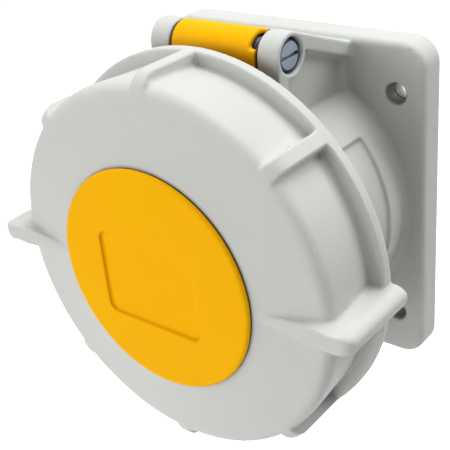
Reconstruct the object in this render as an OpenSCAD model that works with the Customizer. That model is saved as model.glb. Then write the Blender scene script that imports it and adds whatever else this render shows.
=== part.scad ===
// Industrial panel socket, straight outlet, two poles and earth, with a hinged lid and bayonet ring.
// Millimetres. X to the right seen from the front, Y into the panel, Z up.
// The origin is the centre of the flange's back face.
// Modules are drawn with their own z running out of the panel and their own y up.
// stand() turns each of them upright.

/* [Panel flange] */
// How far the flange reaches past the collar at each side
flange_side = 4.5; // [4:0.25:7]
// How far the flange reaches past the collar at the top and bottom
flange_top = 9.5; // [9:0.25:13]
// Thickness of the flange
flange_t = 7.8; // [7:0.1:9]
// Radius of the flange corners, seen from the front
flange_corner_r = 6; // [4:0.5:7]
// Rounding of the flange's front edge
flange_edge_r = 1.8; // [1:0.1:2.5]
// Distance of the fixing holes from the flange's sides
bolt_inset = 7.5; // [7:0.25:8]
// Diameter of the fixing holes
bolt_d = 5.5; // [4.5:0.1:6]

/* [Panel gasket] */
// Thickness of the gasket in its recess
gasket_t = 2; // [1.5:0.1:3]
// Width of the bare edge outside the gasket
gasket_edge = 1.2; // [1:0.1:1.6]
// Play round the gasket in its recess
gasket_play = 0.1; // [0.05:0.05:0.2]
// Room between the gasket's round opening and the spigot
gasket_room = 0.4; // [0.3:0.1:0.6]

/* [Collar] */
// Outer diameter of the collar
collar_od = 66; // [65:0.5:67]
// Wall of the collar, round the plug's shroud
collar_wall = 3.5; // [3:0.25:4]
// Height of the collar's mouth above the panel
mouth_z = 55; // [54:0.1:55.4]
// Bevel of the mouth's two edges
mouth_bevel = 0.6; // [0.3:0.1:1]
// Rounding at the foot of the collar
foot_fillet_r = 1.2; // [0.6:0.1:2]
// Top of the floor that the plug's shroud stops at
floor_z = 15; // [14.5:0.5:17]
// Thickness of that floor
floor_t = 6; // [5:0.25:6.5]
// Width of the keyway at the bottom of the collar
keyway_w = 8; // [6:0.5:10]
// Depth of the keyway
keyway_depth = 1.8; // [1:0.1:2]
// How far the spigot behind the flange stands out from the collar
spigot_step = 0.3; // [0.1:0.1:0.4]
// Wall of the spigot
spigot_wall = 1.8; // [1.5:0.1:2]
// Length of the spigot behind the flange
spigot_len = 9; // [6:0.5:12]
// Lead-in bevel of the spigot
spigot_bevel = 1; // [0.5:0.1:1.4]

/* [Name panel] */
// Lower edge of the recessed name panel on the collar
panel_z0 = 15.5; // [14:0.5:18]
// Height of the name panel
panel_h = 15.5; // [12:0.5:18]
// Angle that the name panel spans
panel_angle = 80; // [60:1:90]
// Depth of the name panel
panel_depth = 0.5; // [0.3:0.1:0.8]
// Corner radius of the name panel
panel_corner_r = 0.8; // [0.5:0.1:1.5]

/* [Hinge bracket] */
// Distance of the hinge axis outside the ring's bore
hinge_rise = 3; // [2.8:0.1:3.4]
// Distance of the hinge axis behind the ring's rear edge
hinge_drop = 9.7; // [9.3:0.1:10.2]
// Radius of the hinge ears
ear_r = 5.25; // [5:0.05:5.5]
// Half width between the ears
ear_x0 = 12.6; // [12.2:0.1:13]
// Width of each ear
ear_w = 5.85; // [5.4:0.05:6.2]
// Depth of the strut below each ear
strut_t = 3.6; // [3:0.1:4.5]
// Thickness of the bracket's side walls
side_wall_t = 3.2; // [2.8:0.1:3.4]
// Depth that the bracket's side walls reach into the collar's wall
bracket_root = 1.4; // [1:0.1:1.8]
// Thickness of the sloping top slab
slab_t = 3.6; // [3:0.1:4]
// Depth of the slab's foot below the flange's top edge
slab_drop = 1.2; // [0.9:0.1:1.6]
// Rounding in the corners under the slab
bracket_fillet_r = 2; // [1:0.1:2.1]
// Gap between the lid's barrel and the slab
barrel_gap = 0.45; // [0.4:0.05:0.8]

/* [Hinge pin] */
// Diameter of the pin
pin_d = 4; // [3.6:0.1:4.2]
// Depth of material left beyond the pin's blind end
pin_blind = 2; // [1:0.1:3]
// Running clearance of the pin in the barrel, on the radius
pin_play = 0.08; // [0.05:0.01:0.1]
// Diameter of the slotted head
head_d = 6.8; // [6.4:0.1:7.2]
// Thickness of the slotted head
head_t = 2.2; // [1.8:0.1:2.4]
// Bevel of the head's edge
head_bevel = 0.6; // [0.3:0.1:0.9]
// How far the head lies below the ear's face
head_sink = 0.65; // [0.4:0.05:1]
// Gap round the head in its recess
head_gap = 0.7; // [0.4:0.1:0.8]
// Width of every screwdriver slot
slot_w = 0.9; // [0.6:0.1:1.2]
// Depth of the slot in the pin's head
slot_depth = 1.2; // [0.8:0.1:1.4]

/* [Hinge spring] */
// Wire diameter of the torsion spring
spring_wire = 0.8; // [0.6:0.05:0.9]
// Mean radius of the spring's coil
spring_r = 3; // [2.9:0.05:3.1]
// Room round the spring in the barrel
spring_room = 0.3; // [0.2:0.05:0.4]
// Number of turns of the coil
spring_turns = 9; // [4:1:10]
// Length of the leg under the slab
spring_leg = 9; // [6:0.5:12]

/* [Bayonet ring] */
// Distance of the ring's rear edge behind the collar's mouth
rim_drop = 13.7; // [13.4:0.1:14]
// Thickness of the rim
rim_t = 3; // [2.5:0.1:3.5]
// Gap between the collar and the ring's bore
ring_room = 9; // [8.8:0.1:9.2]
// Thickness of the ring's wall at the rim
ring_wall_t = 2.4; // [2.2:0.1:2.8]
// How much the wall's radius grows from the rim to the face
ring_wall_draft = 1.2; // [0.8:0.1:1.6]
// Height of the rim over the wall
rim_h = 3.5; // [3.1:0.1:3.9]
// How far the face falls from its flat land to its outer edge
face_drop = 2.7; // [2.3:0.1:2.9]
// Rounding between wall and face
face_edge_r = 2.8; // [2:0.1:3.2]
// Thickness of the ring's front wall
face_t = 2.6; // [2.4:0.1:2.7]
// Bevel inside the ring, between wall and front
inner_bevel = 1.2; // [0.6:0.1:1.4]

/* [Ribs and wings] */
// Width of the small ribs at their root
rib_w = 4; // [3.4:0.1:4.6]
// Draft of each side of a rib, over its height
rib_draft = 0.25; // [0.1:0.05:0.5]
// Rounding at the root of the ribs
rib_fillet_r = 0.9; // [0.5:0.1:1.3]
// Rounding of the ribs' front end
rib_nose_r = 4.4; // [3.8:0.1:5]
// How far the two finger wings stand out from the rim
wing_reach = 4.3; // [3.6:0.1:5]
// Thickness of the wings
wing_t = 4.6; // [4:0.1:5.2]
// How far the wings stand in front of the face's flat land
wing_rise = 0.9; // [0.5:0.1:1.3]
// Half width of the wings at their inner tip
wing_tip = 0.9; // [0.7:0.1:1.2]
// Distance of the wings' inner tip from the face's flat land
wing_start = 1; // [0.6:0.1:1.6]
// Radius of the shallow scoop in a wing's side
scoop_r = 9; // [7:0.5:12]
// Depth of that scoop
scoop_depth = 0.4; // [0.2:0.1:0.6]
// Depth that the ribs' inner ends reach inwards from the ring's bore, over the face
rib_depth = 4; // [3:0.5:5]

/* [Bayonet] */
// Angle that the ring turns to lock
lock_angle = 35; // [33:1:36]
// Half angle of each bayonet lug
lug_half = 11; // [9:0.5:11.5]
// Thickness of the bayonet lugs
lug_t = 3.6; // [3:0.1:4]
// Gap between the ring's lugs and the collar
lug_room = 2.2; // [1.8:0.1:2.6]
// Gap between the collar's lugs and the ring's bore
collar_lug_room = 3.6; // [3.4:0.1:4]
// Distance of the rear face of the collar's lugs behind its mouth
lug_drop = 7.6; // [7.4:0.05:7.7]
// Depth that the lugs' root reaches into the collar's wall
lug_root = 1; // [0.5:0.1:1.5]
// Free play between the lugs when locked
lug_play = 0.6; // [0.4:0.05:0.7]
// Angle between a locked lug and its stop
stop_gap = 3; // [2.5:0.5:4]
// Angle that a stop takes up
stop_angle = 4; // [3:0.5:6]
// Angle of the lead-in ramp on the collar's lugs, along the collar
ramp_angle = 6; // [4:0.5:8]
// Slope of that ramp
ramp_slope = 12; // [8:1:15]

/* [Lid] */
// Gap between the collar's mouth and the lid plate
mouth_gap = 0.4; // [0.35:0.05:0.6]
// Thickness of the lid plate
lid_t = 3; // [2.8:0.1:3.1]
// Gap between the lid plate and the ring's bore
lid_gap = 1; // [0.8:0.1:1.2]
// Radius of the hub that carries the ring
hub_r = 24.4; // [24:0.1:24.8]
// Running clearance of the ring on the hub, on the radius
hub_play = 0.08; // [0.05:0.01:0.1]
// Wall of the hub
hub_wall = 3; // [2.5:0.1:3.2]
// Width of the shoulder behind the ring
shoulder_w = 3.6; // [2.6:0.1:4.6]
// Height of that shoulder over the lid plate
shoulder_h = 2.78; // [2.7:0.02:3]
// Gap between the curved hinge arm and the ring's bore
arm_gap = 0.6; // [0.5:0.05:0.8]
// Thickness of the hinge arm
arm_t = 2.5; // [2.2:0.1:2.6]
// Gap between the hinge arm and each ear
arm_side_gap = 0.6; // [0.5:0.1:0.8]
// Width of the notch at the barrel's right end
notch_w = 1.7; // [1.2:0.1:2.2]
// Height of the notch's ledge above the hinge axis
ledge_h = 1.8; // [1.2:0.1:2.4]

/* [Lid seal] */
// How far the seal reaches inside the collar's mouth
seal_in = 0.9; // [0.6:0.1:1.2]
// How far the seal reaches outside the collar's mouth
seal_out = 1; // [0.6:0.1:1.4]
// Depth of the seal's groove in the lid
seal_groove = 1.6; // [1.2:0.1:1.8]
// Gap between the seal and the collar's mouth
seal_gap = 0.1; // [0.05:0.05:0.2]
// Play of the seal in its groove
seal_play = 0.1; // [0.05:0.05:0.2]
// Bevel at the seal's inner edge
seal_bevel = 1.4; // [0.8:0.1:1.6]

/* [Cap] */
// How far the round cap reaches past the hub, over the ring
cap_lap = 3; // [2.6:0.1:3.2]
// Thickness of the cap
cap_t = 1.3; // [1.2:0.05:1.6]
// Running gap between the ring and both the cap and the shoulder
cap_play = 0.12; // [0.1:0.01:0.25]
// Width of the ring's flat land outside the cap
cap_margin = 0.5; // [0.3:0.1:0.8]
// Rounding of the cap's edge
cap_edge_r = 0.9; // [0.5:0.1:1.1]
// Width of the label recess
label_w = 28; // [24:0.5:30]
// Height of the label recess
label_h = 21.6; // [18:0.1:24]
// Corner radius of the label recess
label_corner_r = 2.2; // [1:0.1:3]
// Offset of the label recess to the side
label_x = -1; // [-2:0.1:1]
// Offset of the label recess upwards
label_y = -1.1; // [-2:0.1:1]
// Depth of the label recess
label_depth = 0.45; // [0.3:0.05:0.6]
// Radius of the circle of the cap's screws
cap_screw_pr = 15; // [13:0.5:17]
// Depth of the rim that centres the cap in the hub
cap_spigot_h = 2; // [1.5:0.1:2.2]
// Wall of that rim
cap_spigot_t = 1.5; // [1:0.1:2]

/* [Contacts] */
// Distance of the contacts' centres from the outside of the post
contact_inset = 11.5; // [11.3:0.1:12]
// Diameter of the line pins that go in
line_pin_d = 6; // [5.9:0.1:6.1]
// Diameter of the earth pin that goes in
earth_pin_d = 8; // [7.9:0.1:8.1]
// Sliding clearance of a pin in its sleeve, on the radius
pin_fit = 0.05; // [0.03:0.01:0.08]
// Wall of the contact sleeves
sleeve_wall = 1.45; // [1.2:0.05:1.5]
// Height of the bores' floor over the terminal blocks
bore_base = 2; // [1.5:0.5:4]
// Distance of the line sleeves' front end behind the post's front face
line_drop = 6.5; // [6:0.1:7]
// Distance of the earth sleeve's front end behind the post's front face
earth_drop = 4.5; // [4.3:0.1:5]
// Width of the slits in the sleeves
slit_w = 0.8; // [0.5:0.1:1]
// Length of those slits
slit_len = 16; // [12:0.5:20]
// Radial thickness of the open spring rings round the sleeves
grip_t = 0.5; // [0.4:0.05:0.6]
// Length of the spring rings along the sleeve
grip_len = 3; // [2:0.5:4]
// Distance of the spring rings from the sleeve's end
grip_inset = 1; // [0.5:0.5:2]
// Width of the opening in the spring rings
grip_gap = 1.4; // [1:0.1:2]

/* [Terminals] */
// Width of the line terminal blocks
line_block_w = 10.4; // [10:0.1:10.6]
// Width of the earth terminal block
earth_block_w = 11.6; // [11.4:0.1:11.8]
// How far the terminal blocks reach in front of the carriers' joint
block_rise = 1; // [0.5:0.1:1.5]
// Length of the terminal blocks
block_len = 26; // [25:0.5:27]
// Distance of the rear clamping screw from a block's rear face
clamp_inset = 4; // [3.5:0.1:4.5]
// Distance between the two clamping screws of a block
clamp_span = 6; // [5.8:0.1:6.5]
// Diameter of the wire hole in each block
wire_d = 5.6; // [5.2:0.1:5.8]
// Depth of the wire hole
wire_depth = 15; // [13:0.5:17]
// Width of the pressure plates
plate_w = 3.2; // [2.8:0.1:3.6]
// Thickness of the pressure plates
plate_t = 0.8; // [0.6:0.1:1]
// Play of the pressure plates in their grooves
plate_play = 0.05; // [0.04:0.01:0.1]
// Distance of a pressure plate from the block's rear face
plate_inset = 0.5; // [0.2:0.1:1]
// Radius of the clamping screws
clamp_r = 1.9; // [1.7:0.1:2]
// Length of the clamping screws under the head
clamp_len = 5; // [4.5:0.1:6]

/* [Contact carrier] */
// Space for the plug's shroud between the post and the collar
shroud_room = 4.5; // [4.3:0.1:4.7]
// Distance of the post's front face behind the collar's mouth
post_drop = 5; // [4:0.1:5.5]
// Wall of the post
post_wall = 2.4; // [2:0.1:2.5]
// Thickness of the post's front wall
post_front_t = 4; // [3.5:0.1:4]
// Bevel round the post's front face and its entries
post_bevel = 1; // [0.6:0.1:1.2]
// Gap between the post and the floor's opening
post_gap = 0.5; // [0.3:0.1:0.6]
// Room round a pin in the post's front wall, on the radius
entry_room = 0.5; // [0.3:0.1:0.7]
// Wall of the tubes round the contacts
tube_wall = 1.5; // [1.2:0.1:1.5]
// Room round the spring rings in those tubes
tube_room = 0.3; // [0.2:0.05:0.35]
// Gap between the carriers and the spigot's wall
carrier_gap = 0.4; // [0.3:0.05:0.5]
// Thickness of the front carrier's flange
carrier_flange_t = 4; // [3.5:0.1:4]
// Thickness of the rear carrier's plate
rear_plate_t = 3; // [2.6:0.1:3.2]
// Wall of the terminal chambers
chamber_wall = 1.5; // [1.3:0.1:1.6]
// Thickness of the chambers' rear wall
chamber_back_t = 2; // [1.5:0.1:3]
// Play between the contacts and the carriers
contact_play = 0.15; // [0.1:0.01:0.2]
// Distance of the carrier screws from the spigot's bore
carrier_screw_inset = 3.2; // [3.1:0.1:3.3]

/* [Hidden] */
$fn = 96;

// Overlap of shapes that join, gap of faces that rest on each other, and reach of a cutter
fine = 0.01;
past = 1;
far = 20;

// Preview colours
grey = [0.78, 0.79, 0.77];
yellow = [0.98, 0.72, 0.10];
black = [0.10, 0.10, 0.11];
dark_grey = [0.25, 0.26, 0.27];
brass = [0.80, 0.66, 0.32];
steel = [0.60, 0.63, 0.66];

// Clock angles seen from the front
line_clock = 0;
earth_clock = 120;
neutral_clock = 240;
between_clocks = [60, 180, 300];
rib_clocks = [0, 45, 135, 180, 225, 315];
side_clocks = [90, 270];

// Flange, collar and post
flange_w = collar_od + 2 * flange_side;
flange_h = collar_od + 2 * flange_top;
bolt_span = flange_w - 2 * bolt_inset;
collar_r = collar_od / 2;
collar_bore_r = collar_r - collar_wall;
spigot_r = collar_r + spigot_step;
rear_bore_r = spigot_r - spigot_wall;
gasket_bore_r = spigot_r + gasket_room;
panel_z1 = panel_z0 + panel_h;
post_r = collar_bore_r - shroud_room;
post_z = mouth_z - post_drop;
pitch_r = post_r - contact_inset;
floor_back = floor_z - floor_t;
floor_bore_r = post_r + post_gap;
carrier_screw_pr = rear_bore_r - carrier_screw_inset;

// Hinge bracket
ring_bore_r = collar_r + ring_room;
rim_z = mouth_z - rim_drop;
hinge_y = ring_bore_r + hinge_rise;
hinge_z = rim_z - hinge_drop;
ear_x1 = ear_x0 + ear_w;
wall_x1 = ear_x0 + side_wall_t;
bracket_foot = sqrt(collar_r * collar_r - ear_x1 * ear_x1) - bracket_root;
slab_foot = [flange_h / 2 - slab_drop - hinge_y, flange_t - hinge_z];
slab_slope = atan(slab_foot[0] / slab_foot[1]) + asin(ear_r / norm(slab_foot));
slab_run = hinge_z + ear_r;

// Lid and seal
lid_z = mouth_z + mouth_gap;
lid_front = lid_z + lid_t;
lid_r = ring_bore_r - lid_gap;
lid_bevel = 0.6;
arm_r1 = ring_bore_r - arm_gap;
arm_r0 = arm_r1 - arm_t;
arm_x = ear_x0 - arm_side_gap;
seal_r0 = collar_bore_r - seal_in;
seal_r1 = collar_r + seal_out;
shoulder_r = hub_r + shoulder_w;
shoulder_z = lid_front + shoulder_h;

// Ring and cap
land_z = shoulder_z + cap_play + face_t;
face_land_h = land_z - rim_z;
face_edge_h = face_land_h - face_drop;
face_edge_z = rim_z + face_edge_h;
wall_r0 = ring_bore_r + ring_wall_t;
wall_r1 = wall_r0 + ring_wall_draft;
wall_lean = atan((wall_r1 - wall_r0) / (face_edge_h - rim_t));
rim_r = wall_r0 + rim_h;
wing_r = rim_r + wing_reach;
wing_h = face_land_h + wing_rise;
hub_bore_r = hub_r + hub_play;
cap_r = hub_r + cap_lap;
cap_back = land_z + cap_play;
cap_front = cap_back + cap_t;
land_r = cap_r + cap_margin;
face_fall = face_drop / (wall_r1 - land_r);
rib_inner_r = ring_bore_r - rib_depth;
rib_dive = 0.12;

// Bayonet
collar_lug_z = mouth_z - lug_drop;
ring_lug_r = collar_r + lug_room;
ring_lug_z = collar_lug_z - lug_play - lug_t;
collar_lug_r = ring_bore_r - collar_lug_room;

// Hinge
barrel_inset = 0.05;
barrel_r = ear_r - barrel_inset;
barrel_end = arm_x - notch_w;
head_face = ear_x1 - head_sink;
head_floor = head_face - head_t;
pin_tip = pin_blind - ear_x1;
coil_overlap = 0.016;
spring_pitch = spring_wire - coil_overlap;
spring_core = spring_wire / 2;
spring_end = ear_x0 - spring_room - spring_wire / 2;
spring_start = spring_end - spring_turns * spring_pitch;
pocket_r = spring_r + spring_wire / 2 + spring_room;
pocket_x = spring_start - spring_wire;

// Screws
cap_screw_r = 1.25;
cap_screw_head_r = 2.5;
cap_screw_head_t = 1.4;
cap_screw_len = 5.4;
cap_boss_r = 3;
clamp_head_r = 3;
clamp_head_t = 2.4;
carrier_screw_r = 1.3;
carrier_screw_grip = 4;
carrier_head_r = 2.5;
carrier_head_t = 1.9;
head_room = 0.4;
thread_play = 0.05;
hole_play = 0.15;

// Contacts and terminals
line_front_z = post_z - line_drop;
earth_front_z = post_z - earth_drop;
block_front_z = floor_back + block_rise;
block_rear_z = block_front_z - block_len;
bore_floor_z = block_front_z + bore_base;
clamp_z = [for (step = [1, 0]) block_rear_z + clamp_inset + step * clamp_span];
plate_y = wire_d / 2 + plate_play;
carrier_back = floor_back - carrier_flange_t;
tube_rear_z = block_front_z + contact_play;
chamber_floor_z = block_rear_z - contact_play;

// Radius of a contact sleeve for a pin
function sleeve_radius(pin) = pin / 2 + pin_fit + sleeve_wall;

// Height of the ring's conical face at a radius
function face_height(r) = land_z - (r - land_r) * face_fall;

// Unit vector from a to b
function toward(a, b) = (b - a) / norm(b - a);

// First tangent point, centre and second tangent point of a rounding of radius r at corner b
function soften(a, b, c, r) =
  let (u = toward(b, a), v = toward(b, c), half = acos(u * v) / 2)
  [b + u * r / tan(half), b + (u + v) / norm(u + v) * r / sin(half), b + v * r / tan(half)];

// Turns a drawing whose z runs out of the panel upright
module stand() {
  rotate([90, 0, 0]) children();
}

// Turns a drawing made at the top to a clock angle seen from the front
module at_clock(angle) {
  rotate([0, 0, -angle]) children();
}

// Lays a drawing's z along the hinge axis to the right, its x towards the panel, its y up
module along_hinge(x) {
  translate([x, hinge_y, hinge_z]) rotate([0, 90, 0]) children();
}

// Repeats a drawing between the contacts, at a distance from the centre
module between_contacts(radius) {
  for (clock = between_clocks) at_clock(clock) translate([0, radius, 0]) children();
}

// Places a drawing at one contact
module at_contact(clock) {
  at_clock(clock) translate([0, pitch_r, 0]) children();
}

// Repeats a drawing at the three contacts, which can read the pin and the block width
module each_contact() {
  for (c = [[line_clock, line_pin_d, line_block_w], [neutral_clock, line_pin_d, line_block_w],
      [earth_clock, earth_pin_d, earth_block_w]])
    let ($pin = c[1], $block_w = c[2]) at_contact(c[0]) children();
}

// Repeats a drawing at the four fixing holes
module each_bolt() {
  for (x = [-1, 1], y = [-1, 1]) translate([x * bolt_span / 2, y * bolt_span / 2, 0]) children();
}

// Flat rectangle with round corners
module rounded_rect(w, h, r) {
  square([w - 2 * r, h], center = true);
  square([w, h - 2 * r], center = true);
  for (x = [-1, 1], y = [-1, 1])
    translate([x * (w / 2 - r), y * (h / 2 - r)]) circle(r);
}

// Plate with round corners and a rounded front edge
module soft_plate(w, h, t, r, edge) {
  linear_extrude(t - edge) rounded_rect(w, h, r);
  linear_extrude(t) rounded_rect(w - 2 * edge, h - 2 * edge, r - edge);
  for (y = [-1, 1])
    translate([-w / 2 + r, y * (h / 2 - edge), t - edge]) rotate([0, 90, 0])
      cylinder(r = edge, h = w - 2 * r);
  for (x = [-1, 1])
    translate([x * (w / 2 - edge), h / 2 - r, t - edge]) rotate([90, 0, 0])
      cylinder(r = edge, h = h - 2 * r);
  for (x = [-1, 1], y = [-1, 1])
    translate([x * (w / 2 - r), y * (h / 2 - r), t - edge])
      rotate_extrude() translate([r - edge, 0]) circle(edge);
}

// Plain ring between two radii and two heights
module band(r0, r1, z0, z1) {
  translate([0, 0, z0]) difference() {
    cylinder(r = r1, h = z1 - z0);
    translate([0, 0, -past]) cylinder(r = r0, h = z1 - z0 + 2 * past);
  }
}

// Flat sector centred on the top, half an angle to each side
module sector(r0, r1, half) {
  intersection() {
    difference() {
      circle(r1);
      circle(r0);
    }
    polygon([[0, 0], [-2 * r1 * tan(half), 2 * r1], [2 * r1 * tan(half), 2 * r1]]);
  }
}

// Curved block between two clock angles, two radii and two heights
module arc_block(r0, r1, from, to, z0, z1) {
  at_clock((from + to) / 2) translate([0, 0, z0])
    linear_extrude(z1 - z0) sector(r0, r1, (to - from) / 2);
}

// Flat shape that fills the corner between the two axes with a rounding
module fillet(r) {
  difference() {
    translate([-fine, -fine]) square(r + fine);
    translate([r, r]) circle(r);
  }
}

// Screw with a slotted cheese head, head at the bottom and shank up
module slotted_screw(r, len, head_r, head_h) {
  difference() {
    union() {
      cylinder(r = r, h = len);
      translate([0, 0, -head_h]) cylinder(r = head_r, h = head_h);
    }
    translate([-head_r - past, -slot_w / 2, -head_h - past])
      cube([2 * (head_r + past), slot_w, past + head_h / 2]);
  }
}

// Section of the collar with its floor and rear spigot
module collar_section() {
  inner = collar_bore_r;
  top = mouth_z - mouth_bevel;
  polygon([
    [inner, floor_z], [inner, top], [inner + mouth_bevel, mouth_z],
    [collar_r - mouth_bevel, mouth_z], [collar_r, top], [collar_r, 0], [spigot_r, 0],
    [spigot_r, spigot_bevel - spigot_len], [spigot_r - spigot_bevel, -spigot_len],
    [rear_bore_r, -spigot_len],
    [rear_bore_r, floor_back], [floor_bore_r, floor_back], [floor_bore_r, floor_z]]);
  translate([collar_r, flange_t]) fillet(foot_fillet_r);
}

// Bayonet lug on the collar: ramp at the leading end, stop at the far end
module collar_lug() {
  stop = lug_half + stop_gap;
  difference() {
    arc_block(collar_r - lug_root, collar_lug_r, -lug_half, stop + stop_angle, ring_lug_z,
      collar_lug_z + lug_t);
    arc_block(collar_r, collar_lug_r + past, -2 * lug_half, stop, ring_lug_z - past, collar_lug_z);
    at_clock(ramp_angle - lug_half) translate([0, collar_r, collar_lug_z]) rotate([0, ramp_slope, 0])
      translate([-far - fine, -far / 2, -far]) cube(far);
  }
}

// Recess for a name on the right of the collar, left bare
module name_panel() {
  r = collar_r - panel_depth;
  half = panel_angle / 2;
  inset = panel_corner_r / collar_r * 180 / PI;
  at_clock(90) {
    arc_block(r, collar_r + past, -half, half, panel_z0 + panel_corner_r, panel_z1 - panel_corner_r);
    arc_block(r, collar_r + past, inset - half, half - inset, panel_z0, panel_z1);
    for (side = [-1, 1], z = [panel_z0 + panel_corner_r, panel_z1 - panel_corner_r])
      at_clock(side * (half - inset)) intersection() {
        translate([0, 0, z]) rotate([-90, 0, 0]) cylinder(r = panel_corner_r, h = collar_r + past);
        band(r, collar_r + past, panel_z0, panel_z1);
      }
  }
}

// Block under the slope of the top slab: its top face lies at a height above the hinge axis
module under_slope(top, depth) {
  along_hinge(-ear_x1) rotate([0, 0, -slab_slope])
    translate([0, top - depth, 0]) cube([slab_run, depth, 2 * ear_x1]);
}

// One side of the bracket: ear, strut, side wall and the roundings under the slab
module bracket_side() {
  front = hinge_z + ear_r;
  along_hinge(ear_x0) cylinder(r = ear_r, h = ear_x1 - ear_x0);
  translate([ear_x0, bracket_foot, front - strut_t])
    cube([ear_x1 - ear_x0, hinge_y - bracket_foot, strut_t]);
  translate([ear_x0, bracket_foot, hinge_z])
    cube([wall_x1 - ear_x0, hinge_y - bracket_foot, front - strut_t - hinge_z + past]);
  intersection() {
    translate([ear_x0, bracket_foot, fine])
      cube([wall_x1 - ear_x0, hinge_y + ear_r - bracket_foot, hinge_z]);
    under_slope(ear_r, hinge_y);
  }
  translate([wall_x1, bracket_foot, flange_t]) rotate([-90, 0, 0]) mirror([0, 1, 0])
    linear_extrude(flange_h / 2 - flange_edge_r - bracket_foot - slab_t) fillet(bracket_fillet_r);
  along_hinge(wall_x1) rotate([0, 0, -slab_slope]) translate([0, ear_r - slab_t, 0])
    rotate([180, 0, 0]) rotate([0, 90, 0]) linear_extrude(slab_run) fillet(bracket_fillet_r);
}

// Ears, struts, side walls and sloping slab that carry the lid
module hinge_bracket() {
  difference() {
    union() {
      under_slope(ear_r, slab_t);
      bracket_side();
      mirror([1, 0, 0]) bracket_side();
    }
    along_hinge(-ear_x0) cylinder(r = barrel_r + barrel_gap, h = 2 * ear_x0);
    along_hinge(pin_tip) cylinder(r = pin_d / 2 + fine, h = 2 * ear_x1);
    along_hinge(head_floor) cylinder(r = head_d / 2 + head_gap, h = far);
    translate([-far, 0, -far]) cube([2 * far, flange_h, far + fine]);
  }
}

module housing() {
  color(grey) stand() difference() {
    union() {
      soft_plate(flange_w, flange_h, flange_t, flange_corner_r, flange_edge_r);
      rotate_extrude() collar_section();
      hinge_bracket();
      for (clock = side_clocks) at_clock(clock) collar_lug();
    }
    translate([0, 0, -past]) cylinder(r = rear_bore_r, h = floor_back + past);
    translate([0, 0, -past]) cylinder(r = floor_bore_r, h = floor_z + 2 * past);
    translate([0, 0, floor_z]) cylinder(r = collar_bore_r, h = mouth_z);
    translate([-keyway_w / 2, -collar_bore_r - keyway_depth, floor_z])
      cube([keyway_w, collar_bore_r, mouth_z]);
    name_panel();
    translate([0, 0, -past]) linear_extrude(gasket_t + past) gasket_outline(gasket_play);
    each_bolt() translate([0, 0, -past]) cylinder(d = bolt_d, h = flange_t + 2 * past);
    between_contacts(carrier_screw_pr) translate([0, 0, floor_back - past])
      cylinder(r = carrier_screw_r + thread_play, h = carrier_screw_grip + 2 * past);
  }
}

// Outline of the gasket, grown by a play all round
module gasket_outline(play) {
  difference() {
    rounded_rect(flange_w - 2 * (gasket_edge - play), flange_h - 2 * (gasket_edge - play),
      flange_corner_r - gasket_edge);
    circle(gasket_bore_r - play);
  }
}

module panel_gasket() {
  color(black) stand() difference() {
    linear_extrude(gasket_t - fine) gasket_outline(0);
    each_bolt() translate([0, 0, -past]) cylinder(d = bolt_d, h = gasket_t + 2 * past);
  }
}

// Hollow post with its flange, before the contacts' tubes are added
module post_shell() {
  bevel_z = post_z - post_bevel;
  difference() {
    union() {
      translate([0, 0, carrier_back])
        cylinder(r = rear_bore_r - carrier_gap, h = carrier_flange_t - fine);
      translate([0, 0, carrier_back]) cylinder(r = post_r, h = bevel_z - carrier_back);
      translate([0, 0, bevel_z]) cylinder(r1 = post_r, r2 = post_r - post_bevel, h = post_bevel);
    }
    translate([0, 0, carrier_back - past])
      cylinder(r = post_r - post_wall, h = post_z - post_front_t - carrier_back + past);
  }
}

module carrier_front() {
  ceiling = post_z - post_front_t;
  tube_len = ceiling - tube_rear_z + past;
  color(dark_grey) stand() difference() {
    union() {
      post_shell();
      each_contact() translate([0, 0, tube_rear_z])
        cylinder(r = sleeve_radius($pin) + grip_t + tube_room + tube_wall, h = tube_len);
    }
    each_contact() {
      cylinder(r = sleeve_radius($pin) + grip_t + tube_room, h = ceiling);
      cylinder(r = $pin / 2 + entry_room, h = post_z + past);
      translate([0, 0, post_z - post_bevel])
        cylinder(r1 = $pin / 2 + entry_room, r2 = $pin / 2 + entry_room + post_bevel, h = post_bevel);
    }
    between_contacts(carrier_screw_pr) translate([0, 0, carrier_back - past])
      cylinder(r = carrier_screw_r + hole_play, h = carrier_flange_t + 2 * past);
  }
}

// Square block round a terminal, with a play and a wall outside it
module chamber_block(wall, z0, z1) {
  w = $block_w + 2 * (contact_play + wall);
  translate([-w / 2, -w / 2, z0]) cube([w, w, z1 - z0]);
}

module carrier_rear() {
  plate_z = carrier_back - rear_plate_t;
  color(black) stand() difference() {
    union() {
      translate([0, 0, plate_z]) cylinder(r = rear_bore_r - carrier_gap, h = rear_plate_t - fine);
      each_contact() chamber_block(chamber_wall, chamber_floor_z - chamber_back_t, block_front_z);
    }
    each_contact() {
      chamber_block(0, chamber_floor_z, block_front_z + past);
      translate([0, 0, chamber_floor_z - chamber_back_t - past])
        cylinder(r = wire_d / 2 + head_room, h = chamber_back_t + 2 * past);
      for (z = clamp_z) translate([0, 0, z]) rotate([-90, 0, 0])
        cylinder(r = clamp_head_r + head_room, h = far);
    }
    between_contacts(carrier_screw_pr) translate([0, 0, plate_z - past])
      cylinder(r = carrier_screw_r + hole_play, h = rear_plate_t + 2 * past);
  }
}

module carrier_screws() {
  plate_z = carrier_back - rear_plate_t;
  color(steel) stand() between_contacts(carrier_screw_pr) translate([0, 0, plate_z - fine])
    slotted_screw(carrier_screw_r, floor_back + carrier_screw_grip - plate_z,
      carrier_head_r, carrier_head_t);
}

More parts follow.
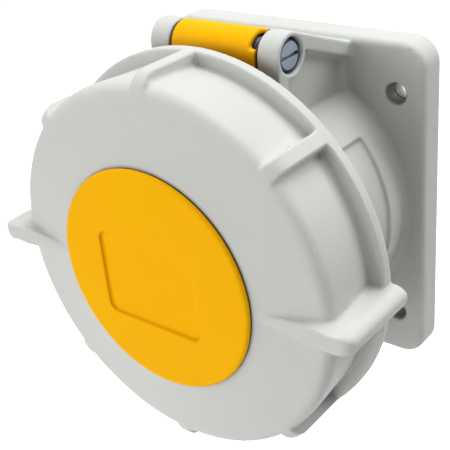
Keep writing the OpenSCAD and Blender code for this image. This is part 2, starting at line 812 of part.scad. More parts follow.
// Slit sleeve in front, terminal block with its wire hole and plate groove behind
module contact(clock, pin, block_w, front_z) {
  sleeve_r = sleeve_radius(pin);
  groove_w = plate_w + 2 * plate_play;
  color(brass) stand() at_contact(clock) difference() {
    union() {
      cylinder(r = sleeve_r, h = front_z);
      translate([-block_w / 2, -block_w / 2, block_rear_z])
        cube([block_w, block_w, block_front_z - block_rear_z]);
    }
    translate([0, 0, bore_floor_z]) cylinder(r = pin / 2 + pin_fit, h = front_z);
    for (turn = [0, 90]) rotate([0, 0, turn])
      translate([-sleeve_r - past, -slit_w / 2, front_z - slit_len])
        cube([2 * (sleeve_r + past), slit_w, slit_len + past]);
    translate([0, 0, block_rear_z - past]) cylinder(d = wire_d, h = wire_depth + past);
    translate([-groove_w / 2, 0, block_rear_z - past])
      cube([groove_w, plate_y + plate_t + plate_play, wire_depth + past]);
    for (z = clamp_z) translate([0, 0, z]) rotate([-90, 0, 0])
      cylinder(r = clamp_r + thread_play, h = block_w);
  }
}

module contact_line() {
  contact(line_clock, line_pin_d, line_block_w, line_front_z);
}

module contact_neutral() {
  contact(neutral_clock, line_pin_d, line_block_w, line_front_z);
}

module contact_earth() {
  contact(earth_clock, earth_pin_d, earth_block_w, earth_front_z);
}

// Open spring ring that squeezes the slit end of a sleeve
module grip(clock, pin, front_z) {
  r = sleeve_radius(pin);
  top = front_z - grip_inset;
  color(steel) stand() at_contact(clock) difference() {
    band(r + fine, r + grip_t, top - grip_len, top);
    translate([0, -grip_gap / 2, 0]) cube([far, grip_gap, front_z]);
  }
}

module grip_line() {
  grip(line_clock, line_pin_d, line_front_z);
}

module grip_neutral() {
  grip(neutral_clock, line_pin_d, line_front_z);
}

module grip_earth() {
  grip(earth_clock, earth_pin_d, earth_front_z);
}

module terminal_screws() {
  tip = plate_y + plate_t + fine;
  color(steel) stand() each_contact() for (z = clamp_z)
    translate([0, tip + clamp_len, z]) rotate([90, 0, 0])
      slotted_screw(clamp_r, clamp_len, clamp_head_r, clamp_head_t);
}

module terminal_plates() {
  len = wire_depth - 2 * plate_inset;
  color(steel) stand() each_contact()
    translate([-plate_w / 2, plate_y, block_rear_z + plate_inset]) cube([plate_w, plate_t, len]);
}

// Section of the lid's plate, shoulder and hub
module lid_section() {
  groove_r0 = seal_r0 - seal_play;
  groove_r1 = seal_r1 + seal_play;
  groove_z = lid_z + seal_groove;
  polygon([
    [0, lid_z], [groove_r0, lid_z], [groove_r0, groove_z], [groove_r1, groove_z],
    [groove_r1, lid_z], [lid_r - lid_bevel, lid_z], [lid_r, lid_z + lid_bevel],
    [lid_r, lid_front - lid_bevel], [lid_r - lid_bevel, lid_front], [shoulder_r, lid_front],
    [shoulder_r, shoulder_z], [hub_r, shoulder_z], [hub_r, cap_back - fine],
    [hub_r - hub_wall, cap_back - fine], [hub_r - hub_wall, lid_front], [0, lid_front]]);
}

// Curved arm inside the ring that joins the barrel and the plate
module lid_arm() {
  translate([0, 0, hinge_z]) linear_extrude(lid_front - lid_bevel - hinge_z) intersection() {
    difference() {
      circle(arm_r1);
      circle(arm_r0);
    }
    translate([-arm_x, 0]) square([2 * arm_x, arm_r1]);
  }
}

// Barrel with its apron, the pocket for the spring and the notch at the right
module lid_barrel() {
  apron_y = sqrt(arm_r0 * arm_r0 - arm_x * arm_x);
  difference() {
    union() {
      along_hinge(-arm_x) cylinder(r = barrel_r, h = 2 * arm_x);
      translate([-arm_x, apron_y, hinge_z]) cube([2 * arm_x, hinge_y - apron_y, barrel_r]);
    }
    translate([0, 0, hinge_z - past]) cylinder(r = arm_r0, h = far);
    along_hinge(-arm_x - past) cylinder(r = pin_d / 2 + pin_play, h = 2 * (arm_x + past));
    along_hinge(pocket_x) cylinder(r = pocket_r, h = far);
    translate([barrel_end, hinge_y + ledge_h, hinge_z - far / 2]) cube(far);
    translate([barrel_end, hinge_y - far / 2, hinge_z - far - pin_d / 2]) cube(far);
  }
}

module lid() {
  counterbore = lid_front - lid_z - cap_screw_head_t;
  color(yellow) stand() difference() {
    union() {
      rotate_extrude() lid_section();
      lid_arm();
      lid_barrel();
    }
    between_contacts(cap_screw_pr) translate([0, 0, lid_z - past]) {
      cylinder(r = cap_screw_r + hole_play, h = far / 2);
      cylinder(r = cap_screw_head_r + head_room, h = counterbore + past);
    }
  }
}

module lid_seal() {
  rear = mouth_z + seal_gap;
  color(black) stand() difference() {
    band(seal_r0, seal_r1, rear, lid_z + seal_groove - fine);
    translate([0, 0, rear - fine])
      cylinder(r1 = seal_r0 + seal_bevel, r2 = seal_r0, h = seal_bevel);
  }
}

// Space inside the ring
module ring_cavity() {
  corner = ring_bore_r - inner_bevel;
  polygon([[0, rim_z - past], [ring_bore_r, rim_z - past],
    [ring_bore_r, face_height(ring_bore_r) - face_t - inner_bevel],
    [corner, face_height(corner) - face_t], [land_r, land_z - face_t], [0, land_z - face_t]]);
}

// Section of the ring: rim, leaning wall, rounded edge and conical face
module ring_section() {
  foot = [wall_r0, rim_z + rim_t];
  edge = [wall_r1, face_edge_z];
  land = [land_r, land_z];
  arc = soften(foot, edge, land, face_edge_r);
  difference() {
    union() {
      polygon([[hub_bore_r, land_z], land, arc[2], arc[1], arc[0], foot, [rim_r, foot[1]],
        [rim_r, rim_z], [hub_bore_r, rim_z]]);
      translate(arc[1]) circle(face_edge_r);
    }
    ring_cavity();
  }
}

// Section that bounds the ribs: flush with the rim, rounded over onto the face
module rib_envelope() {
  top = [rim_r, face_height(rim_r)];
  inner = [rib_inner_r, face_height(rib_inner_r) - rib_dive];
  arc = soften([rim_r, rim_z], top, inner, rib_nose_r);
  polygon([[ring_bore_r + past, rim_z], [rim_r, rim_z], arc[0], arc[1], arc[2], inner]);
  translate(arc[1]) circle(rib_nose_r);
}

// One rib at the top with drafted sides, its root rounded along the leaning wall
module rib_bar() {
  half = rib_w / 2;
  sink = 0.1;
  translate([0, 0, rim_z]) linear_extrude(face_land_h)
    polygon([[-half, rib_inner_r], [-half, wall_r0], [rib_draft - half, rim_r + past],
      [half - rib_draft, rim_r + past], [half, wall_r0], [half, rib_inner_r]]);
  translate([0, wall_r0 - sink, rim_z + rim_t - past]) rotate([-wall_lean, 0, 0])
    for (side = [0, 1]) mirror([side, 0, 0])
      translate([half - rib_draft / 2, 0, 0]) linear_extrude(face_edge_h) fillet(rib_fillet_r);
}

module ribs() {
  intersection() {
    for (clock = rib_clocks) at_clock(clock) rib_bar();
    rotate_extrude() rib_envelope();
  }
}

// Plan of the right wing, from its inner tip to its rounded end
module wing_plan() {
  half = wing_t / 2;
  tip = land_r + wing_start + wing_tip;
  root = wall_r1 - face_edge_r;
  difference() {
    union() {
      polygon([[tip, -wing_tip], [root, -half], [wing_r - half, -half], [wing_r - half, half],
        [root, half], [tip, wing_tip]]);
      translate([tip, 0]) circle(wing_tip);
      translate([wing_r - half, 0]) circle(half);
    }
    translate([wall_r1 + wing_tip, half - scoop_depth + scoop_r]) circle(scoop_r);
  }
}

// Side view of a wing, with its rounded outer corner
module wing_side() {
  corner = [wing_r + fine, wing_h];
  shelf = [wall_r1, wing_h];
  arc = soften(shelf, corner, [corner[0], 0], face_edge_r);
  polygon([[land_r, face_edge_h - face_t], [land_r, face_land_h], shelf, arc[0], arc[1], arc[2],
    [corner[0], 0], [ring_bore_r + past, 0], [ring_bore_r + past, face_edge_h - face_t]]);
  translate(arc[1]) circle(face_edge_r);
}

module wings() {
  for (turn = [0, 180]) rotate([0, 0, turn]) translate([0, 0, rim_z]) intersection() {
    linear_extrude(wing_h) wing_plan();
    translate([0, wing_t, 0]) rotate([90, 0, 0]) linear_extrude(2 * wing_t) wing_side();
  }
}

module lid_ring() {
  color(grey) stand() {
    difference() {
      union() {
        rotate_extrude() ring_section();
        ribs();
        wings();
      }
      rotate_extrude() ring_cavity();
      cylinder(r = hub_bore_r, h = land_z + past);
    }
    for (clock = side_clocks) at_clock(clock - lock_angle)
      arc_block(ring_lug_r, ring_bore_r + past, -lug_half, lug_half, ring_lug_z, ring_lug_z + lug_t);
  }
}

// Section of the cap's disc with its rounded edge and the rim that centres it in the hub
module cap_section() {
  spigot = hub_r - hub_wall - hole_play;
  flat = cap_r - cap_edge_r;
  intersection() {
    translate([0, cap_back]) square([cap_r, cap_t]);
    union() {
      translate([flat, cap_front - cap_edge_r]) circle(cap_edge_r);
      square([cap_r, cap_front - cap_edge_r]);
      square([flat, cap_front]);
    }
  }
  translate([spigot - cap_spigot_t, cap_back - cap_spigot_h])
    square([cap_spigot_t, cap_spigot_h + fine]);
}

module lid_cap() {
  color(yellow) stand() difference() {
    union() {
      rotate_extrude() cap_section();
      between_contacts(cap_screw_pr) translate([0, 0, lid_front + fine])
        cylinder(r = cap_boss_r, h = cap_back - lid_front);
    }
    translate([label_x, label_y, cap_front - label_depth]) linear_extrude(far)
      rounded_rect(label_w, label_h, label_corner_r);
    between_contacts(cap_screw_pr) translate([0, 0, lid_front - past])
      cylinder(r = cap_screw_r + thread_play, h = cap_screw_len);
  }
}

module cap_screws() {
  seat = lid_front - cap_screw_head_t;
  color(steel) stand() between_contacts(cap_screw_pr) translate([0, 0, seat - fine])
    slotted_screw(cap_screw_r, cap_screw_len, cap_screw_head_r, cap_screw_head_t);
}

module hinge_pin() {
  straight = head_t - head_bevel;
  color(steel) stand() difference() {
    union() {
      along_hinge(pin_tip + fine) cylinder(d = pin_d, h = head_floor - pin_tip + past);
      along_hinge(head_floor + fine) cylinder(d = head_d, h = straight);
      along_hinge(head_floor + straight)
        cylinder(d1 = head_d, d2 = head_d - head_bevel, h = head_bevel);
    }
    along_hinge(head_face - slot_depth) translate([-head_d, -slot_w / 2, 0])
      cube([2 * head_d, slot_w, slot_depth + past]);
  }
}

// Closed coil round the pin, with the leg that pushes against the slab
module hinge_spring() {
  leg_y = ear_r - slab_t - spring_wire / 2 - fine;
  color(steel) stand() {
    along_hinge(spring_start) rotate_extrude() {
      for (turn = [0 : spring_turns]) translate([spring_r, turn * spring_pitch]) circle(d = spring_wire);
      translate([spring_r - spring_core / 2, 0]) square([spring_core, spring_turns * spring_pitch]);
    }
    along_hinge(spring_end) rotate([0, 0, -slab_slope])
      translate([sqrt(spring_r * spring_r - leg_y * leg_y), leg_y, 0]) rotate([0, 90, 0])
        cylinder(d = spring_wire, h = spring_leg);
  }
}

housing();
panel_gasket();
carrier_front();
carrier_rear();
contact_line();
contact_neutral();
contact_earth();
grip_line();
grip_neutral();
grip_earth();
terminal_screws();
terminal_plates();
carrier_screws();
lid();
lid_seal();
lid_ring();
lid_cap();
cap_screws();
hinge_pin();
hinge_spring();
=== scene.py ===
"""Dresses the industrial panel socket: fine moulded shapes, finishes, studio and camera."""

from __future__ import annotations

import logging
import math
from abc import ABC, abstractmethod
from dataclasses import dataclass, field
from enum import Enum

import bpy
import numpy as np
import openvdb
from mathutils import Euler, Matrix, Vector
from mathutils.bvhtree import BVHTree


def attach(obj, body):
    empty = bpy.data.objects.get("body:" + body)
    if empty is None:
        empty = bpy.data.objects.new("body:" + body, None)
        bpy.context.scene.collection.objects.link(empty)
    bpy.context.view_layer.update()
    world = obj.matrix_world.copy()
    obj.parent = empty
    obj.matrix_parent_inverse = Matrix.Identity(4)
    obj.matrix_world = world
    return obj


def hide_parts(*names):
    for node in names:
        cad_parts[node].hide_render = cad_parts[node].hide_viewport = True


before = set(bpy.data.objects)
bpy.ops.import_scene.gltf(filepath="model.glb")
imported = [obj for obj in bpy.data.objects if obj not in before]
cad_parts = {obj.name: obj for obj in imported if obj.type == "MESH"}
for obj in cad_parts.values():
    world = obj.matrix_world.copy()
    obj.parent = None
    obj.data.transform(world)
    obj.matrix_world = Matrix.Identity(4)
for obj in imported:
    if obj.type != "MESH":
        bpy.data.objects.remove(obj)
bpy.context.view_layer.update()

LOG = logging.getLogger("panel_socket")
MM = 0.001
TINY = 1e-18

Colour = tuple[float, float, float]


class Body(Enum):
    """Bodies of the frame that pieces ride on."""

    BASE = "base"
    LID = "lid"
    RING = "ring"


def srgb(red: int, green: int, blue: int) -> Colour:
    """Turns a colour of the display into the linear values that shaders take.

    Args:
        red: Red, 0 to 255.
        green: Green, 0 to 255.
        blue: Blue, 0 to 255.

    Returns:
        The linear colour.
    """

    def linear(value: int) -> float:
        """Linear value of one channel."""
        share = value / 255
        return share / 12.92 if share <= 0.04045 else ((share + 0.055) / 1.055) ** 2.4

    return linear(red), linear(green), linear(blue)


@dataclass(frozen=True)
class Grain:
    """A noise that a finish is made of.

    Attributes:
        size_mm: Size of its grain.
        octaves: Octaves of finer noise in it.
        seed: Offset that makes one noise differ from another.
    """

    size_mm: float
    octaves: float = 2.0
    seed: float = 0.0


@dataclass(frozen=True)
class PaintedCornerShade:
    """Painted shade: a soft darkening of a colour where other surfaces are near, as shade falls
    there.

    Attributes:
        reach_mm: Distance within which other surfaces count.
        left: Share of the colour left in the deepest corner.
        deep: Open share of the view at which a corner counts as deepest.
        free: Open share from which a spot counts as free.
        rays: Rays by which the open share is found.
    """

    reach_mm: float
    left: float
    deep: float = 0.1
    free: float = 0.6
    rays: int = 12


class ShaderGraph:
    """Builds the node tree of one material around a Principled shader.

    Attributes:
        COLOUR_INPUTS: Places of the two colours among a mix node's inputs.
        COLOUR_OUTPUT: Place of the mixed colour among its outputs.
    """

    COLOUR_INPUTS: tuple[int, int] = (6, 7)
    COLOUR_OUTPUT: int = 2

    def __init__(self, name: str) -> None:
        """Starts an empty material.

        Args:
            name: Name of the material.
        """
        self.material = bpy.data.materials.new(name)
        self.material.use_nodes = True
        self.tree = self.material.node_tree
        self.shader = self.tree.nodes["Principled BSDF"]
        self.place = self.node("ShaderNodeTexCoord").outputs["Object"]

    def node(self, kind: str, **settings: object) -> bpy.types.Node:
        """Adds a node.

        Args:
            kind: Blender's name of the node type.
            **settings: Properties to set on it.

        Returns:
            The new node.
        """
        made = self.tree.nodes.new(kind)
        for key, value in settings.items():
            setattr(made, key, value)
        return made

    def link(self, source: bpy.types.NodeSocket, target: bpy.types.NodeSocket) -> None:
        """Joins two sockets."""
        self.tree.links.new(source, target)

    def stretched(self, scale: tuple[float, float, float]) -> bpy.types.NodeSocket:
        """Object coordinates scaled along each axis.

        Args:
            scale: Factor along X, Y and Z.

        Returns:
            The vector socket.
        """
        mapping = self.node("ShaderNodeMapping")
        mapping.inputs["Scale"].default_value = scale
        self.link(self.place, mapping.inputs["Vector"])
        return mapping.outputs["Vector"]

    def noise(self, grain: Grain,
              vector: bpy.types.NodeSocket | None = None) -> bpy.types.NodeSocket:
        """Adds a noise texture.

        Args:
            grain: Size, octaves and seed of the noise.
            vector: Coordinates to use instead of the object's own.

        Returns:
            The noise value, about 0.5 on average.
        """
        texture = self.node("ShaderNodeTexNoise", noise_dimensions="4D")
        texture.inputs["Scale"].default_value = 1 / (grain.size_mm * MM)
        texture.inputs["Detail"].default_value = grain.octaves
        texture.inputs["W"].default_value = grain.seed
        self.link(vector or self.place, texture.inputs["Vector"])
        return texture.outputs["Fac"]

    def spread(self, value: bpy.types.NodeSocket, low: float, high: float,
               start: float = 0.3, end: float = 0.7) -> bpy.types.NodeSocket:
        """Maps a value to a range, held at the ends.

        Args:
            value: Socket to map.
            low: Result at the start of the input range.
            high: Result at its end.
            start: Start of the input range.
            end: End of the input range.

        Returns:
            The mapped value.
        """
        mapped = self.node("ShaderNodeMapRange", clamp=True)
        for key, number in (("From Min", start), ("From Max", end),
                            ("To Min", low), ("To Max", high)):
            mapped.inputs[key].default_value = number
        self.link(value, mapped.inputs["Value"])
        return mapped.outputs["Result"]

    def blend(self, share: bpy.types.NodeSocket, first: Colour,
              second: Colour) -> bpy.types.NodeSocket:
        """Mixes two colours by a value.

        Args:
            share: Socket with the share of the second colour.
            first: Colour at 0.
            second: Colour at 1.

        Returns:
            The mixed colour.
        """
        mix = self.node("ShaderNodeMix", data_type="RGBA")
        for place, colour in zip(self.COLOUR_INPUTS, (first, second)):
            mix.inputs[place].default_value = (*colour, 1)
        self.link(share, mix.inputs[0])
        return mix.outputs[self.COLOUR_OUTPUT]

    def with_painted_shade(self, colour: bpy.types.NodeSocket, shade: PaintedCornerShade) -> bpy.types.NodeSocket:
        """Paints shade into a colour: darkens it where other surfaces are near.

        Args:
            colour: Socket with the colour.
            shade: Reach and depth of the painted shade.

        Returns:
            The shaded colour.
        """
        # Painted shade: the ambient occlusion darkens the colour itself.
        around = self.node("ShaderNodeAmbientOcclusion", samples=shade.rays)
        around.inputs["Distance"].default_value = shade.reach_mm * MM
        share = self.spread(around.outputs["AO"], shade.left, 1.0, shade.deep, shade.free)
        product = self.node("ShaderNodeVectorMath", operation="SCALE")
        self.link(colour, product.inputs[0])
        self.link(share, product.inputs["Scale"])
        return product.outputs[0]

    def relief(self, heights: list[tuple[bpy.types.NodeSocket, float]]) -> None:
        """Chains bumps onto the shader's normal.

        Args:
            heights: Pairs of a height value and the depth in millimetres that 1 stands for.
        """
        normal = None
        for height, depth_mm in heights:
            bump = self.node("ShaderNodeBump")
            bump.inputs["Distance"].default_value = depth_mm * MM
            bump.inputs["Strength"].default_value = 1.0
            self.link(height, bump.inputs["Height"])
            if normal is not None:
                self.link(normal, bump.inputs["Normal"])
            normal = bump.outputs["Normal"]
        if normal is not None:
            self.link(normal, self.shader.inputs["Normal"])

    def constant(self, **values: float) -> None:
        """Sets plain numbers on the shader's own sockets.

        Args:
            **values: Socket names, with an underscore for each space, and their numbers.
        """
        for key, number in values.items():
            self.shader.inputs[key.replace("_", " ")].default_value = number


class Finish(ABC):
    """A finish that gives one Blender material.

    Attributes:
        name: Name of its slot in the record.
        title: Name of the material where two finishes share a slot.
    """

    name: str
    title: str = ""

    @abstractmethod
    def fill(self, graph: ShaderGraph) -> None:
        """Fills the material's node tree.

        Args:
            graph: Node tree to fill.
        """

    def material(self) -> bpy.types.Material:
        """Gives the finish's material, made at its first use.

        Returns:
            The material.
        """
        title = f"{self.title or self.name}_finish"
        known = bpy.data.materials.get(title)
        if known is None:
            graph = ShaderGraph(title)
            self.fill(graph)
            known = graph.material
        return known


@dataclass(frozen=True)
class MouldedPlastic(Finish):
    """Smooth injection-moulded plastic with a faint spark-eroded grain, its colour darkened by
    painted shade in hollows and creases.

    Attributes:
        name: Name of its slot in the record.
        colour: Colour of the plastic.
        shade: Slightly deeper colour that drifts through it.
        roughness: Mean roughness.
        glossier: How much less rough the glossiest patches are.
        duller: How much rougher the dullest patches are.
        level: Strength of the shader's specular reflection.
        drift: Noise by which the colour drifts.
        patches: Noise by which the gloss varies.
        skin: Noise of the fine grain.
        skin_depth_mm: Depth of the fine grain.
        waves: Noise of the slight unevenness of large faces.
        wave_depth_mm: Depth of that unevenness.
        painted_hollow_shade: Painted shade that darkens the colour in the wide hollows.
        painted_crease_shade: Painted shade that darkens the colour in the narrow creases.
    """

    name: str
    colour: Colour
    shade: Colour
    roughness: float = 0.46
    glossier: float = 0.03
    duller: float = 0.05
    level: float = 0.12
    drift: Grain = Grain(18, 3, 1.3)
    patches: Grain = Grain(7, 4, 4.1)
    skin: Grain = Grain(0.35, 2, 7.7)
    skin_depth_mm: float = 0.004
    waves: Grain = Grain(9, 1, 2.9)
    wave_depth_mm: float = 0.012
    # Painted shade for the wide hollows and for the narrow creases.
    painted_hollow_shade: PaintedCornerShade = PaintedCornerShade(reach_mm=26.0, left=0.5)
    painted_crease_shade: PaintedCornerShade = PaintedCornerShade(reach_mm=1.2, left=0.35, deep=0.35, free=0.9)

    def fill(self, graph: ShaderGraph) -> None:
        """Fills the node tree: drifting colour darkened by painted shade in hollows and creases,
        patchy gloss and two grains of relief.

        Args:
            graph: Node tree to fill.
        """
        drift = graph.spread(graph.noise(self.drift), 0.0, 1.0)
        body = graph.blend(drift, self.colour, self.shade)
        # Painted shade: the colour is darkened in wide hollows and in narrow creases.
        with_painted_shade = graph.with_painted_shade(graph.with_painted_shade(body, self.painted_hollow_shade), self.painted_crease_shade)
        graph.link(with_painted_shade, graph.shader.inputs["Base Color"])
        gloss = graph.spread(graph.noise(self.patches),
                             self.roughness - self.glossier, self.roughness + self.duller)
        graph.link(gloss, graph.shader.inputs["Roughness"])
        graph.relief([(graph.noise(self.skin), self.skin_depth_mm),
                      (graph.noise(self.waves), self.wave_depth_mm)])
        graph.constant(Specular_IOR_Level=self.level)


@dataclass(frozen=True)
class SoftRubber(Finish):
    """Dark rubber with a dull, slightly dusty skin.

    Attributes:
        name: Name of its slot in the record.
        colour: Colour of the clean rubber.
        dust: Colour of the bloom on it.
        bloom: Noise by which the bloom lies.
        most_bloom: Share of the bloom's colour where it is thickest.
        bloom_range: Values of the noise between which the bloom grows.
        patches: Noise by which the gloss varies.
        roughness: Least and greatest roughness.
        pits: Noise of the pitted skin.
        pit_depth_mm: Depth of the pits.
        level: Strength of the shader's specular reflection.
    """

    name: str
    colour: Colour
    dust: Colour
    bloom: Grain = Grain(4, 5, 3.0)
    most_bloom: float = 0.6
    bloom_range: tuple[float, float] = (0.45, 0.75)
    patches: Grain = Grain(2, 3)
    roughness: tuple[float, float] = (0.66, 0.82)
    pits: Grain = Grain(0.25, 3, 5.0)
    pit_depth_mm: float = 0.015
    level: float = 0.35

    def fill(self, graph: ShaderGraph) -> None:
        """Fills the node tree: bloom in patches over a fine pitted skin.

        Args:
            graph: Node tree to fill.
        """
        bloom = graph.spread(graph.noise(self.bloom), 0.0, self.most_bloom, *self.bloom_range)
        graph.link(graph.blend(bloom, self.colour, self.dust), graph.shader.inputs["Base Color"])
        gloss = graph.spread(graph.noise(self.patches), *self.roughness)
        graph.link(gloss, graph.shader.inputs["Roughness"])
        graph.relief([(graph.noise(self.pits), self.pit_depth_mm)])
        graph.constant(Specular_IOR_Level=self.level)


@dataclass(frozen=True)
class BareMetal(Finish):
    """Bare or plated metal with drawn or turned marks.

    Attributes:
        name: Name of its slot in the record.
        colour: Colour of the clean metal.
        stain: Colour where it has dulled.
        roughness: Mean roughness.
        marks: Stretch of the fine marks along X, Y and Z.
        title: Name of the material where two share a slot.
        mark_depth_mm: Depth of the marks.
        glossier: How much less rough the glossiest marks are.
        duller: How much rougher the dullest marks are.
        lines: Noise of the marks before it is stretched.
        patches: Noise by which the stain lies.
        most_stain: Share of the stain's colour where it is strongest.
        stain_range: Values of the noise between which the stain grows.
    """

    name: str
    colour: Colour
    stain: Colour
    roughness: float = 0.3
    marks: tuple[float, float, float] = (1.0, 0.06, 1.0)
    title: str = ""
    mark_depth_mm: float = 0.006
    glossier: float = 0.08
    duller: float = 0.1
    lines: Grain = Grain(0.3, 3, 8.5)
    patches: Grain = Grain(3, 5, 2.2)
    most_stain: float = 0.8
    stain_range: tuple[float, float] = (0.4, 0.75)

    def fill(self, graph: ShaderGraph) -> None:
        """Fills the node tree: dull patches, stretched marks and their relief.

        Args:
            graph: Node tree to fill.
        """
        stain = graph.spread(graph.noise(self.patches), 0.0, self.most_stain, *self.stain_range)
        graph.link(graph.blend(stain, self.colour, self.stain), graph.shader.inputs["Base Color"])
        lines = graph.noise(self.lines, graph.stretched(self.marks))
        gloss = graph.spread(lines, self.roughness - self.glossier, self.roughness + self.duller)
        graph.link(gloss, graph.shader.inputs["Roughness"])
        graph.relief([(lines, self.mark_depth_mm)])
        graph.constant(Metallic=1.0)


HOUSING_GREY = MouldedPlastic("housing_grey", srgb(208, 210, 206), srgb(204, 206, 202))
RING_GREY = MouldedPlastic("ring_grey", srgb(208, 210, 206), srgb(205, 207, 203))
LID_YELLOW = MouldedPlastic("lid_yellow", srgb(255, 186, 4), srgb(254, 182, 4), level=0.06)
CAP_YELLOW = MouldedPlastic("cap_yellow", srgb(255, 188, 6), srgb(254, 185, 6), level=0.03,
                            roughness=0.5)
POST_GREY = MouldedPlastic("post_plastic", srgb(66, 68, 70), srgb(60, 62, 64), roughness=0.5)
CHAMBER_GREY = MouldedPlastic("chamber_plastic", srgb(52, 53, 55), srgb(46, 47, 49),
                              roughness=0.52)
GASKET_RUBBER = SoftRubber("gasket_rubber", srgb(38, 38, 40), srgb(70, 70, 72))
SEAL_RUBBER = SoftRubber("seal_rubber", srgb(30, 30, 32), srgb(58, 58, 60))
CONTACT_BRASS = BareMetal("contact_brass", srgb(222, 190, 110), srgb(190, 150, 82),
                          roughness=0.28)
# The hinge spring's steel: a darker copy of the spring steel, with painted shade for the deep
# shadow in the barrel's notch where the spring sits.
SHADED_HINGE_STEEL = BareMetal("spring_steel", srgb(84, 84, 86), srgb(58, 58, 60), roughness=0.4,
                        title="shaded_hinge_steel")
SPRING_STEEL = BareMetal("spring_steel", srgb(150, 152, 156), srgb(120, 122, 126),
                         roughness=0.32)
SCREW_STEEL = BareMetal("screw_steel", srgb(196, 198, 200), srgb(165, 166, 160), roughness=0.3,
                        marks=(1.0, 1.0, 1.0))
PIN_STEEL = BareMetal("pin_steel", srgb(150, 160, 172), srgb(128, 138, 150), roughness=0.42,
                      marks=(1.0, 1.0, 1.0))


@dataclass(frozen=True)
class FingerEnds:
    """Outer ends of finger wings on a part turned about Y, rounder than its other edges.

    Attributes:
        edge_mm: Radius of their edges.
        start_mm: Distance from Y at which the edges begin to get rounder.
        full_mm: Distance at which they have their full radius.
    """

    edge_mm: float
    start_mm: float
    full_mm: float

    def weights(self, corner: np.ndarray, shape: tuple[int, int, int],
                cell_mm: float) -> np.ndarray:
        """Says how much each cell of a lattice belongs to the ends.

        Args:
            corner: First cell of the lattice.
            shape: Number of cells along each axis.
            cell_mm: Size of a cell.

        Returns:
            A share from 0 to 1 for each column of cells along Y.
        """
        x, z = ((corner[axis] + np.arange(shape[axis], dtype=np.float32)) * cell_mm
                for axis in (0, 2))
        away = np.hypot(x[:, None], z[None, :])
        share = np.clip((away - self.start_mm) / (self.full_mm - self.start_mm), 0, 1)
        return (share * share * (3 - 2 * share))[:, None, :].astype(np.float32)


@dataclass(frozen=True)
class Recess(ABC):
    """A shallow recess of a moulding, sunk deeper so that its edge reads as on the real one.

    Attributes:
        sink_mm: How much deeper its floor goes.
        slack_mm: Distance from the floor within which a point counts as on it.
    """

    sink_mm: float = 0.45
    slack_mm: float = 0.03

    @abstractmethod
    def on_floor(self, points: np.ndarray) -> np.ndarray:
        """Says which points are on the floor.

        Args:
            points: Points of the moulding in millimetres.

        Returns:
            True or false for each point.
        """

    @abstractmethod
    def deeper(self, points: np.ndarray) -> np.ndarray:
        """Moves points of the floor by the depth.

        Args:
            points: Points of the floor in millimetres.

        Returns:
            The moved points.
        """

    def sunk(self, points: np.ndarray) -> np.ndarray:
        """Sinks the floor among a moulding's points.

        Args:
            points: Points of the moulding in millimetres.

        Returns:
            The points with the floor sunk.
        """
        floor = self.on_floor(points)
        moved = points.copy()
        moved[floor] = self.deeper(points[floor])
        LOG.info("%s: %d points sunk", type(self).__name__, int(floor.sum()))
        return moved


@dataclass(frozen=True)
class LabelRecess(Recess):
    """Flat recess in the cap's face.

    Attributes:
        floor_y_mm: Place of the recess's floor.
        half_width_mm: Half of the area searched for the floor, across.
        half_height_mm: Half of that area, up.
    """

    floor_y_mm: float = -64.87
    half_width_mm: float = 15.5
    half_height_mm: float = 12.5

    def on_floor(self, points: np.ndarray) -> np.ndarray:
        """Says which points of the cap are on the floor.

        Args:
            points: Points of the cap in millimetres.

        Returns:
            True or false for each point.
        """
        return ((np.abs(points[:, 1] - self.floor_y_mm) < self.slack_mm)
                & (np.abs(points[:, 0]) < self.half_width_mm)
                & (np.abs(points[:, 2]) < self.half_height_mm))

    def deeper(self, points: np.ndarray) -> np.ndarray:
        """Moves points of the floor back."""
        return points + (0, self.sink_mm, 0)


@dataclass(frozen=True)
class CollarPanel(Recess):
    """Bare curved panel in the right side of the collar.

    Attributes:
        floor_r_mm: Radius of the panel's floor.
        half_height_mm: Half of the area searched for the floor, up.
        start_mm: Start of that area in front of the panel face.
        end_mm: End of that area.
    """

    floor_r_mm: float = 32.5
    half_height_mm: float = 22.0
    start_mm: float = 15.0
    end_mm: float = 31.5

    def on_floor(self, points: np.ndarray) -> np.ndarray:
        """Says which points of the housing are on the floor.

        Args:
            points: Points of the housing in millimetres.

        Returns:
            True or false for each point.
        """
        radius, ahead = np.hypot(points[:, 0], points[:, 2]), -points[:, 1]
        return ((np.abs(radius - self.floor_r_mm) < self.slack_mm)
                & (points[:, 0] > 0) & (np.abs(points[:, 2]) < self.half_height_mm)
                & (ahead > self.start_mm) & (ahead < self.end_mm))

    def deeper(self, points: np.ndarray) -> np.ndarray:
        """Moves points of the floor towards the socket's axis."""
        inward = 1 - self.sink_mm / self.floor_r_mm
        return points * (inward, 1, inward)


